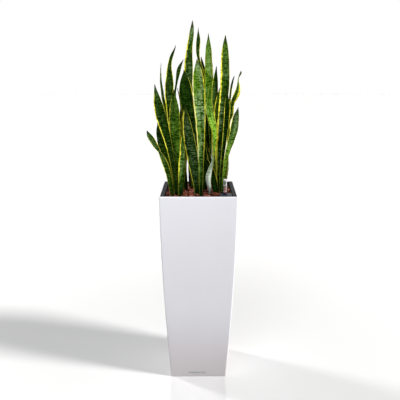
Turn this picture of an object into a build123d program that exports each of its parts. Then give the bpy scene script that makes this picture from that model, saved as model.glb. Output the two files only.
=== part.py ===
"""Tall self watering planter: a tapered square column that holds a lift-out liner.

The liner hangs by its rim inside the column. It holds a water reservoir, a separator plate on
four wick cups, a filler shaft with a level gauge, and a planting of snake plants in bark mulch.
Millimetres, +Z up. The origin is the centre of the column's flat foot.
"""

import os
from dataclasses import dataclass

from build123d import *

# Column (the outer shell)
HEIGHT = 1050.0
TOP_WIDTH = 400.0
FOOT_WIDTH = 305.0
SIDE_BULGE = 9.0  # how far each side bows out of the straight line at half height
WALL = 5.0
FLOOR = 8.0
CORNER_RADIUS = 6.0
FOOT_ROUND = 2.0
RIM_ROUND = 3.5
RIM_INNER_ROUND = 0.8

# Ledge inside the column, and the liner's rim that rests on it
LEDGE_TOP = 1037.0
LEDGE_THICKNESS = 6.0
LEDGE_OPENING = (372.0, 377.0)
RIM_WIDTH = 388.0
RIM_TOP = 1049.0
RIM_RADIUS = 6.0
SHORT_RIM_DROP = 4.0  # the front and back of the rim are lower than the handle sides

# Liner tub
TUB_WALL = 3.0
TUB_TOP = (354.0, 372.0)
TUB_FOOT = (344.0, 362.0)
TUB_BOTTOM = 660.0
TUB_RADIUS = 12.0
TUB_FLOOR = TUB_BOTTOM + 3.5

# Lifting handles: a bar that lies in a channel of the rim, on two legs in guides
CHANNEL_CENTRE = 184.0
CHANNEL_WIDTH = 14.0
CHANNEL_LENGTH = 370.0
CHANNEL_FLOOR = 1040.0
BAR_WIDTH = 13.0
BAR_LENGTH = 366.0
BAR_GAP = 0.3
LEG_SPACING = 280.0
LEG_WIDTH = 22.0
LEG_THICKNESS = 3.2
LEG_CENTRE = 179.8
LEG_FOOT = 888.0
LEG_FOOT_WIDTH = 32.0
LEG_FOOT_HEIGHT = 12.0
GUIDE_Z = (985.0, 1025.0)
GUIDE_WALL = 2.5
GUIDE_PLAY = 0.4
RIB_PITCH = 6.0
RIB_GAP = 1.6

# Separator plate and its wick cups
SEPARATOR_Z = 745.0
SEPARATOR_THICKNESS = 3.5
SEPARATOR_TOP = SEPARATOR_Z + SEPARATOR_THICKNESS
CUP_SPACING = (150.0, 170.0)
CUP_TOP_RADIUS = 34.0
CUP_FOOT_RADIUS = 24.0
CUP_WALL = 2.5
CUP_LIP = 4.0
CUP_LIP_THICKNESS = 2.5

# Filler shaft in the front right corner, with its cover
SHAFT_CENTRE = (140.0, -142.0)
SHAFT_SIZE = (58.0, 68.0)
SHAFT_WALL = 2.5
COVER_OVERHANG = 1.5
COVER_Z = 1044.0
COVER_THICKNESS = 3.0
COVER_TOP = COVER_Z + COVER_THICKNESS
MOUTH_CENTRE = (157.0, -142.0)
MOUTH_SIZE = (15.0, 52.0)

# Filler flap
FLAP_THICKNESS = 2.0
FLAP_LIFT = 0.3
HINGE_X = 168.2
HINGE_Z = COVER_TOP + 2.4
HINGE_RADIUS = 2.2
PIN_RADIUS = 1.2
PIN_PLAY = 0.05
KNUCKLE_LENGTH = 9.0
KNUCKLE_SPACING = 47.0

# Level gauge
GAUGE_CENTRE = (136.5, -137.0)
TUBE_RADIUS = 9.0
TUBE_BORE = 7.5
TUBE_Z = (665.0, 1125.0)
COLLAR_RADIUS = 10.4
COLLAR_HEIGHT = 11.0
GAUGE_HOLE_PLAY = 0.4
FLOAT_RADIUS = 6.9
FLOAT_Z = (699.0, 765.0)
ROD_RADIUS = 3.2
ROD_TOP = 1086.0

# Drain in the middle of the tub floor
DRAIN_RADIUS = 11.0
DRAIN_BOSS_RADIUS = 17.0
DRAIN_BOSS_TOP = 670.0
PLUG_HEAD_RADIUS = 20.0
PLUG_HEAD_HEIGHT = 5.0
SEAL_RADIUS = 14.5
SEAL_SECTION = 1.45
SEAL_GAP = 0.05

# Planting, from the separator up
FILL_GAP = 0.6
GRANULATE_TOP = 790.0
MIX_TOP = 1022.0
BARK_TOP = 1042.0
NOTCH_PLAY = 1.0

# Snake plant leaves
LEAF_THICKNESS = 3.6
LEAF_EDGE = 1.0
LEAF_TIP_WIDTH = 2.4
LEAF_TIP_START = 0.75
LEAF_TIP_POWER = 2.6
LEAF_STATIONS = (0.0, 0.1, 0.2, 0.3, 0.4, 0.5, 0.6, 0.69, 0.77, 0.84, 0.9, 0.95, 1.0)

# Plain badge low on the front
BADGE_SIZE = (96.0, 9.0)
BADGE_CENTRE = (-8.0, 26.0)
BADGE_RELIEF = 0.6


def side(z, inset=0.0):
    """Half width of the column at height z, less an inset."""
    straight = FOOT_WIDTH / 2 + (TOP_WIDTH - FOOT_WIDTH) / 2 * z / HEIGHT
    bow = SIDE_BULGE * (1 - (2 * z / HEIGHT - 1) ** 2)
    return straight + bow - inset


def upright_edges(part):
    return part.edges().filter_by(lambda e: abs(e.tangent_at(0.5).Z) > 0.8)


def column(z_low, z_high, inset, radius):
    """Block with the column's four bowed sides, moved in by an inset, and rounded corners."""
    z_mid = (z_low + z_high) / 2
    low, mid, high = (side(z, inset) for z in (z_low, z_mid, z_high))
    with BuildPart() as block:
        for plane, mode in ((Plane.XZ, Mode.ADD), (Plane.YZ, Mode.INTERSECT)):
            with BuildSketch(plane) as profile:
                with BuildLine():
                    ThreePointArc((low, z_low), (mid, z_mid), (high, z_high))
                    Line((high, z_high), (-high, z_high))
                    ThreePointArc((-high, z_high), (-mid, z_mid), (-low, z_low))
                    Line((-low, z_low), (low, z_low))
                make_face()
            extrude(profile.sketch, amount=TOP_WIDTH, both=True, mode=mode)
        fillet(upright_edges(block.part), radius)
    return block.part


def tub_block(z_low, z_high, inset):
    """Block with the tub's drafted sides, moved in by an inset."""
    with BuildPart() as block:
        for z in (z_low, z_high):
            share = (z - TUB_BOTTOM) / (RIM_TOP - TUB_BOTTOM)
            size = [
                foot + (top - foot) * share - 2 * inset
                for foot, top in zip(TUB_FOOT, TUB_TOP)
            ]
            with BuildSketch(Plane.XY.offset(z)):
                RectangleRounded(*size, TUB_RADIUS - inset)
        loft(ruled=True)
    return block.part


def slab(z_low, z_high, inset=0.0):
    """Block that fills the tub between two heights, less the filler shaft's corner."""
    with BuildPart() as block:
        add(tub_block(z_low, z_high, TUB_WALL + inset))
        corner = [
            centre + sign * (size / 2 + COVER_OVERHANG + NOTCH_PLAY)
            for centre, size, sign in zip(SHAFT_CENTRE, SHAFT_SIZE, (-1, 1))
        ]
        reach = RIM_WIDTH / 2
        with BuildSketch(Plane.XY.offset(z_low)) as notch:
            with Locations(((corner[0] + reach) / 2, (corner[1] - reach) / 2)):
                Rectangle(reach - corner[0], reach + corner[1])
        extrude(notch.sketch, amount=z_high - z_low, mode=Mode.SUBTRACT)
    return block.part


def finish(builder, label):
    builder.part.label = label
    export_step(builder.part, f"parts/{label}.step")


def make_outer_shell():
    ledge_bottom = LEDGE_TOP - LEDGE_THICKNESS
    inner_radius = CORNER_RADIUS - WALL
    with BuildPart() as shell:
        add(column(0, HEIGHT, 0, CORNER_RADIUS))
        fillet(shell.faces().sort_by(Axis.Z)[0].edges(), FOOT_ROUND)
        add(column(FLOOR, ledge_bottom, WALL, inner_radius), mode=Mode.SUBTRACT)
        add(column(LEDGE_TOP, HEIGHT, WALL, inner_radius), mode=Mode.SUBTRACT)
        with BuildSketch(Plane.XY.offset(ledge_bottom)) as throat:
            RectangleRounded(*LEDGE_OPENING, TUB_RADIUS)
        extrude(throat.sketch, amount=LEDGE_THICKNESS, mode=Mode.SUBTRACT)
        fillet(shell.faces().sort_by(Axis.Z)[-1].outer_wire().edges(), RIM_ROUND)
        fillet(shell.faces().sort_by(Axis.Z)[-1].inner_wires()[0].edges(), RIM_INNER_ROUND)
    finish(shell, "outer_shell")


def make_badge():
    with BuildPart() as badge:
        with BuildSketch(Plane.XZ.offset(FOOT_WIDTH / 2 - 10)) as outline:
            with Locations(BADGE_CENTRE):
                SlotOverall(*BADGE_SIZE)
        extrude(outline.sketch, amount=20)
        add(column(0, HEIGHT, -BADGE_RELIEF, CORNER_RADIUS), mode=Mode.INTERSECT)
        add(column(0, HEIGHT, 0, CORNER_RADIUS), mode=Mode.SUBTRACT)
    finish(badge, "front_badge")


def make_liner_tub():
    leg_y = LEG_SPACING / 2
    with BuildPart() as tub:
        add(tub_block(TUB_BOTTOM, RIM_TOP, 0))
        with BuildSketch(Plane.XY.offset(LEDGE_TOP)) as rim:
            RectangleRounded(RIM_WIDTH, RIM_WIDTH, RIM_RADIUS)
        extrude(rim.sketch, amount=RIM_TOP - LEDGE_TOP)
        # Guides for the handle legs, on the outside of the walls
        guide_width = LEG_WIDTH + 2 * (GUIDE_PLAY + GUIDE_WALL)
        guide_reach = LEG_CENTRE + LEG_THICKNESS / 2 + GUIDE_PLAY + GUIDE_WALL
        wall_x = TUB_FOOT[0] / 2
        with BuildSketch(Plane.XY.offset(GUIDE_Z[0])) as guides:
            with GridLocations(guide_reach + wall_x, LEG_SPACING, 2, 2):
                Rectangle(guide_reach - wall_x, guide_width)
        extrude(guides.sketch, amount=GUIDE_Z[1] - GUIDE_Z[0])
        add(tub_block(TUB_FLOOR, RIM_TOP, TUB_WALL), mode=Mode.SUBTRACT)
        # Channels that the handle bars lie in
        with BuildSketch(Plane.XY.offset(CHANNEL_FLOOR)) as channels:
            with GridLocations(2 * CHANNEL_CENTRE, 0, 2, 1):
                Rectangle(CHANNEL_WIDTH, CHANNEL_LENGTH)
        extrude(channels.sketch, amount=RIM_TOP - CHANNEL_FLOOR, mode=Mode.SUBTRACT)
        # Slots for the legs, through the channel floors and the guides
        with BuildSketch(Plane.XY.offset(GUIDE_Z[0])) as slots:
            with GridLocations(2 * LEG_CENTRE, LEG_SPACING, 2, 2):
                Rectangle(LEG_THICKNESS + 2 * GUIDE_PLAY, LEG_WIDTH + 2 * GUIDE_PLAY)
        extrude(slots.sketch, amount=RIM_TOP - GUIDE_Z[0], mode=Mode.SUBTRACT)
        # Lower front and back of the rim
        short_y = (TUB_TOP[1] / 2 - TUB_WALL + RIM_WIDTH / 2) / 2
        with BuildSketch(Plane.XY.offset(RIM_TOP - SHORT_RIM_DROP)) as short_sides:
            with GridLocations(0, 2 * short_y, 1, 2):
                Rectangle(TUB_TOP[0] - 2 * TUB_RADIUS, RIM_WIDTH / 2 - TUB_TOP[1] / 2 + TUB_WALL)
        extrude(short_sides.sketch, amount=SHORT_RIM_DROP, mode=Mode.SUBTRACT)
        # Drain boss
        with BuildSketch(Plane.XY.offset(TUB_FLOOR)) as boss:
            Circle(DRAIN_BOSS_RADIUS)
        extrude(boss.sketch, amount=DRAIN_BOSS_TOP - TUB_FLOOR)
        with BuildSketch(Plane.XY.offset(TUB_BOTTOM)) as drain:
            Circle(DRAIN_RADIUS)
        extrude(drain.sketch, amount=DRAIN_BOSS_TOP - TUB_BOTTOM, mode=Mode.SUBTRACT)
    finish(tub, "liner_tub")


def make_handle(name, sign):
    """Bar with ribs across its top, and two legs that end in wider feet."""
    bar_bottom = CHANNEL_FLOOR + BAR_GAP
    bar_top = RIM_TOP - BAR_GAP
    ribs = round(BAR_LENGTH / RIB_PITCH) - 2
    with BuildPart() as handle:
        with BuildSketch(Plane.XY.offset(bar_bottom)) as bar:
            with Locations((sign * CHANNEL_CENTRE, 0)):
                RectangleRounded(BAR_WIDTH, BAR_LENGTH, 2)
        extrude(bar.sketch, amount=bar_top - bar_bottom)
        chamfer(handle.faces().sort_by(Axis.Z)[-1].edges(), 0.8)
        with BuildSketch(Plane.XY.offset(bar_top - 0.6)) as grooves:
            with Locations((sign * CHANNEL_CENTRE, 0)):
                with GridLocations(0, RIB_PITCH, 1, ribs):
                    Rectangle(BAR_WIDTH - 4, RIB_GAP)
        extrude(grooves.sketch, amount=0.6, mode=Mode.SUBTRACT)
        for bottom, top, width in (
            (LEG_FOOT, bar_bottom, LEG_WIDTH),
            (LEG_FOOT, LEG_FOOT + LEG_FOOT_HEIGHT, LEG_FOOT_WIDTH),
        ):
            with BuildSketch(Plane.XY.offset(bottom)) as legs:
                with Locations((sign * LEG_CENTRE, 0)):
                    with GridLocations(0, LEG_SPACING, 1, 2):
                        Rectangle(LEG_THICKNESS, width)
            extrude(legs.sketch, amount=top - bottom)
    finish(handle, name)


def make_separator_plate():
    with BuildPart() as plate:
        add(tub_block(SEPARATOR_Z, SEPARATOR_TOP, TUB_WALL + FILL_GAP))
        with BuildSketch(Plane.XY.offset(SEPARATOR_Z)) as openings:
            with GridLocations(*CUP_SPACING, 2, 2):
                Circle(CUP_TOP_RADIUS + 0.5)
            with Locations(SHAFT_CENTRE):
                Rectangle(*[size - 2 * SHAFT_WALL for size in SHAFT_SIZE])
            with GridLocations(0, 22, 1, 15):
                SlotOverall(56, 5)
            for x in (-1, 1):
                with Locations((x * 88, 0)):
                    with GridLocations(0, 16, 1, 5):
                        SlotOverall(70, 5)
        extrude(openings.sketch, amount=SEPARATOR_THICKNESS, mode=Mode.SUBTRACT)
    finish(plate, "separator_plate")


def cup_cone(z_low, z_high, inset):
    """Cone of a wick cup, or of what fills it, between two heights."""
    with BuildPart() as cone:
        for z in (z_low, z_high):
            share = (z - TUB_FLOOR) / (SEPARATOR_TOP - TUB_FLOOR)
            radius = CUP_FOOT_RADIUS + (CUP_TOP_RADIUS - CUP_FOOT_RADIUS) * share - inset
            with BuildSketch(Plane.XY.offset(z)):
                Circle(radius)
        loft()
    return cone.part


def make_wick_cups():
    lip_top = SEPARATOR_TOP + CUP_LIP_THICKNESS
    with BuildPart() as cup:
        add(cup_cone(TUB_FLOOR, SEPARATOR_TOP, 0))
        with BuildSketch(Plane.XY.offset(SEPARATOR_TOP)) as lip:
            Circle(CUP_TOP_RADIUS + CUP_LIP)
        extrude(lip.sketch, amount=CUP_LIP_THICKNESS)
        add(cup_cone(TUB_FLOOR + CUP_WALL, lip_top, CUP_WALL), mode=Mode.SUBTRACT)
        with BuildSketch(Plane.XY.offset(TUB_FLOOR + 8)) as windows:
            with PolarLocations(CUP_TOP_RADIUS - 6, 8):
                Rectangle(24, 3)
        extrude(windows.sketch, amount=52, mode=Mode.SUBTRACT)
    with BuildPart() as cups:
        with GridLocations(*CUP_SPACING, 2, 2):
            add(cup.part)
    finish(cups, "wick_cups")


def make_filler_shaft():
    with BuildPart() as shaft:
        with BuildSketch(Plane.XY.offset(SEPARATOR_TOP)) as walls:
            with Locations(SHAFT_CENTRE):
                RectangleRounded(*SHAFT_SIZE, 4)
                inner = [size - 2 * SHAFT_WALL for size in SHAFT_SIZE]
                RectangleRounded(*inner, 1.5, mode=Mode.SUBTRACT)
        extrude(walls.sketch, amount=COVER_Z - SEPARATOR_TOP)
    finish(shaft, "filler_shaft")


def make_shaft_cover():
    size = [length + 2 * COVER_OVERHANG for length in SHAFT_SIZE]
    with BuildPart() as cover:
        with BuildSketch(Plane.XY.offset(COVER_Z)) as plate:
            with Locations(SHAFT_CENTRE):
                RectangleRounded(*size, 4)
            with Locations(GAUGE_CENTRE):
                Circle(TUBE_RADIUS + GAUGE_HOLE_PLAY, mode=Mode.SUBTRACT)
            with Locations(MOUTH_CENTRE):
                RectangleRounded(*MOUTH_SIZE, 3, mode=Mode.SUBTRACT)
        extrude(plate.sketch, amount=COVER_THICKNESS)
        fillet(cover.faces().sort_by(Axis.Z)[-1].outer_wire().edges(), 1)
        for sign in (-1, 1):
            y = MOUTH_CENTRE[1] + sign * KNUCKLE_SPACING / 2
            with BuildSketch(Plane.XZ.offset(-y - KNUCKLE_LENGTH / 2)) as knuckle:
                with Locations((HINGE_X, HINGE_Z)):
                    Circle(HINGE_RADIUS)
                with Locations((HINGE_X, (HINGE_Z + COVER_TOP) / 2)):
                    Rectangle(2 * HINGE_RADIUS, HINGE_Z - COVER_TOP)
                with Locations((HINGE_X, HINGE_Z)):
                    Circle(PIN_RADIUS, mode=Mode.SUBTRACT)
            extrude(knuckle.sketch, amount=KNUCKLE_LENGTH)
    finish(cover, "shaft_cover")


def make_hinge_pin():
    length = KNUCKLE_SPACING + KNUCKLE_LENGTH
    with BuildPart() as pin:
        with BuildSketch(Plane.XZ.offset(-MOUTH_CENTRE[1] - length / 2)) as section:
            with Locations((HINGE_X, HINGE_Z)):
                Circle(PIN_RADIUS)
        extrude(section.sketch, amount=length)
    finish(pin, "flap_hinge_pin")


def make_filler_flap():
    """Flap that covers the filler mouth, with a tongue round the hinge pin and a finger lip."""
    plate_z = COVER_TOP + FLAP_LIFT
    left = MOUTH_CENTRE[0] - MOUTH_SIZE[0] / 2 - 2
    right = HINGE_X - HINGE_RADIUS - 0.6
    tongue = KNUCKLE_SPACING - KNUCKLE_LENGTH - 1.0
    with BuildPart() as flap:
        with BuildSketch(Plane.XY.offset(plate_z)) as plate:
            with Locations(((left + right) / 2, MOUTH_CENTRE[1])):
                RectangleRounded(right - left, MOUTH_SIZE[1] + 4, 3)
            with Locations(((right - 4 + HINGE_X) / 2, MOUTH_CENTRE[1])):
                Rectangle(HINGE_X - right + 4, tongue)
        extrude(plate.sketch, amount=FLAP_THICKNESS)
        with BuildSketch(Plane.XZ.offset(-MOUTH_CENTRE[1] - tongue / 2)) as knuckle:
            with Locations((HINGE_X, HINGE_Z)):
                Circle(HINGE_RADIUS)
        extrude(knuckle.sketch, amount=tongue)
        with BuildSketch(Plane.XZ.offset(-MOUTH_CENTRE[1] - tongue / 2)) as bore:
            with Locations((HINGE_X, HINGE_Z)):
                Circle(PIN_RADIUS + PIN_PLAY)
        extrude(bore.sketch, amount=tongue, mode=Mode.SUBTRACT)
        with BuildSketch(Plane.XY.offset(plate_z + FLAP_THICKNESS)) as lip:
            with Locations((left + 2.5, MOUTH_CENTRE[1])):
                SlotOverall(20, 2.4, rotation=90)
        extrude(lip.sketch, amount=1.6)
    finish(flap, "filler_flap")


def make_level_gauge():
    with BuildPart() as tube:
        with BuildSketch(Plane.XY.offset(TUBE_Z[0])) as section:
            with Locations(GAUGE_CENTRE):
                Circle(TUBE_RADIUS)
                Circle(TUBE_BORE, mode=Mode.SUBTRACT)
        extrude(section.sketch, amount=TUBE_Z[1] - TUBE_Z[0])
        with BuildSketch(Plane.XY.offset(TUBE_Z[0] + 4)) as inlets:
            with Locations(GAUGE_CENTRE):
                with PolarLocations(TUBE_RADIUS, 4):
                    Rectangle(6, 3)
        extrude(inlets.sketch, amount=30, mode=Mode.SUBTRACT)
    finish(tube, "gauge_tube")
    with BuildPart() as cap:
        with BuildSketch(Plane.XY.offset(TUBE_Z[1])) as top:
            with Locations(GAUGE_CENTRE):
                Circle(TUBE_RADIUS + 0.6)
        extrude(top.sketch, amount=4)
        fillet(cap.edges().sort_by(Axis.Z)[-1], 2)
        with BuildSketch(Plane.XY.offset(TUBE_Z[1])) as stopper:
            with Locations(GAUGE_CENTRE):
                Circle(TUBE_BORE)
        extrude(stopper.sketch, amount=-3)
    finish(cap, "gauge_cap")
    with BuildPart() as collar:
        with BuildSketch(Plane.XY.offset(COVER_TOP)) as ring:
            with Locations(GAUGE_CENTRE):
                Circle(COLLAR_RADIUS)
        extrude(ring.sketch, amount=COLLAR_HEIGHT)
        fillet(collar.edges().sort_by(Axis.Z)[-1], 1.5)
        with BuildSketch(Plane.XY.offset(COVER_TOP)) as bore:
            with Locations(GAUGE_CENTRE):
                Circle(TUBE_RADIUS)
        extrude(bore.sketch, amount=COLLAR_HEIGHT, mode=Mode.SUBTRACT)
    finish(collar, "gauge_collar")
    with BuildPart() as marks:
        for height in (18, 50):
            with BuildSketch(Plane.XY.offset(COVER_TOP + height)) as band:
                with Locations(GAUGE_CENTRE):
                    Circle(TUBE_RADIUS + 0.25)
                    Circle(TUBE_RADIUS, mode=Mode.SUBTRACT)
            extrude(band.sketch, amount=1.6)
    finish(marks, "gauge_marks")


def make_float():
    with BuildPart() as cylinder:
        with BuildSketch(Plane.XY.offset(FLOAT_Z[0])) as section:
            with Locations(GAUGE_CENTRE):
                Circle(FLOAT_RADIUS)
        extrude(section.sketch, amount=FLOAT_Z[1] - FLOAT_Z[0])
        chamfer(cylinder.edges().filter_by(GeomType.CIRCLE), 1)
    finish(cylinder, "float_cylinder")
    with BuildPart() as rod:
        with BuildSketch(Plane.XY.offset(FLOAT_Z[1])) as section:
            with Locations(GAUGE_CENTRE):
                Circle(ROD_RADIUS)
        extrude(section.sketch, amount=ROD_TOP - FLOAT_Z[1])
        fillet(rod.edges().sort_by(Axis.Z)[-1], 1.5)
    finish(rod, "float_rod")


def make_drain():
    seal_z = TUB_BOTTOM - SEAL_GAP - SEAL_SECTION
    head_top = seal_z - SEAL_SECTION - SEAL_GAP
    with BuildPart() as seal:
        with BuildSketch(Plane.XZ) as section:
            with Locations((SEAL_RADIUS, seal_z)):
                Circle(SEAL_SECTION)
        revolve(section.sketch, axis=Axis.Z)
    finish(seal, "drain_seal")
    with BuildPart() as plug:
        with BuildSketch(Plane.XY.offset(head_top - PLUG_HEAD_HEIGHT)) as head:
            Circle(PLUG_HEAD_RADIUS)
        extrude(head.sketch, amount=PLUG_HEAD_HEIGHT)
        fillet(plug.edges().sort_by(Axis.Z)[0], 1.5)
        with BuildSketch(Plane.XY.offset(head_top)) as stem:
            Circle(DRAIN_RADIUS - 0.1)
        extrude(stem.sketch, amount=DRAIN_BOSS_TOP - head_top)
        with BuildSketch(Plane.XY.offset(head_top - PLUG_HEAD_HEIGHT)) as grip:
            RectangleRounded(30, 6, 2)
        extrude(grip.sketch, amount=-8)
    finish(plug, "drain_plug")


def make_fill():
    lip_top = SEPARATOR_TOP + CUP_LIP_THICKNESS
    with BuildPart() as granulate:
        add(slab(lip_top, GRANULATE_TOP, FILL_GAP))
        with GridLocations(*CUP_SPACING, 2, 2):
            add(cup_cone(TUB_FLOOR + CUP_WALL, lip_top, CUP_WALL + 0.2))
    finish(granulate, "drainage_granulate")
    with BuildPart() as mix:
        add(slab(GRANULATE_TOP, MIX_TOP, FILL_GAP))
    finish(mix, "potting_mix")
    with BuildPart() as bark:
        add(slab(MIX_TOP, BARK_TOP, FILL_GAP))
    finish(bark, "bark_mulch")


@dataclass
class Leaf:
    """One blade. Its centre line runs through the points, with z counted from the bark.

    widths and turns are given at even steps from root to tip. A turn is the direction that the
    blade faces: 0 is towards -Y, and positive angles turn it anticlockwise seen from above.
    """

    points: tuple
    widths: tuple
    turns: tuple = (0, 0)


def between(values, t):
    """Value at t of a list spread evenly from 0 to 1."""
    place = t * (len(values) - 1)
    step = min(int(place), len(values) - 2)
    return values[step] + (values[step + 1] - values[step]) * (place - step)


def leaf_width(leaf, t):
    point = 1 - (max(0.0, t - LEAF_TIP_START) / (1 - LEAF_TIP_START)) ** LEAF_TIP_POWER
    return max(LEAF_TIP_WIDTH, between(leaf.widths, t) * point)


def make_leaf(leaf):
    line = Spline(*[(x, y, z + BARK_TOP) for x, y, z in leaf.points])
    with BuildPart() as blade:
        for t in LEAF_STATIONS:
            width = leaf_width(leaf, t)
            along = Vector(0, 0, 1) if t == 0 else line % t
            across = Vector(1, 0, 0).rotate(Axis.Z, between(leaf.turns, t))
            across = (across - along * across.dot(along)).normalized()
            half, cup = width / 2, width * (0.2 - 0.13 * t)
            thick = min(LEAF_THICKNESS * (1 - 0.55 * t), width * 0.4)
            edge = min(LEAF_EDGE, thick * 0.6)
            with BuildSketch(Plane(origin=line @ t, x_dir=across, z_dir=along)):
                with BuildLine():
                    ThreePointArc((-half, 0), (0, cup), (half, 0))
                    Line((half, 0), (half, edge))
                    ThreePointArc((half, edge), (0, cup + thick), (-half, edge))
                    Line((-half, edge), (-half, 0))
                make_face()
        loft()
    return blade.part


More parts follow.
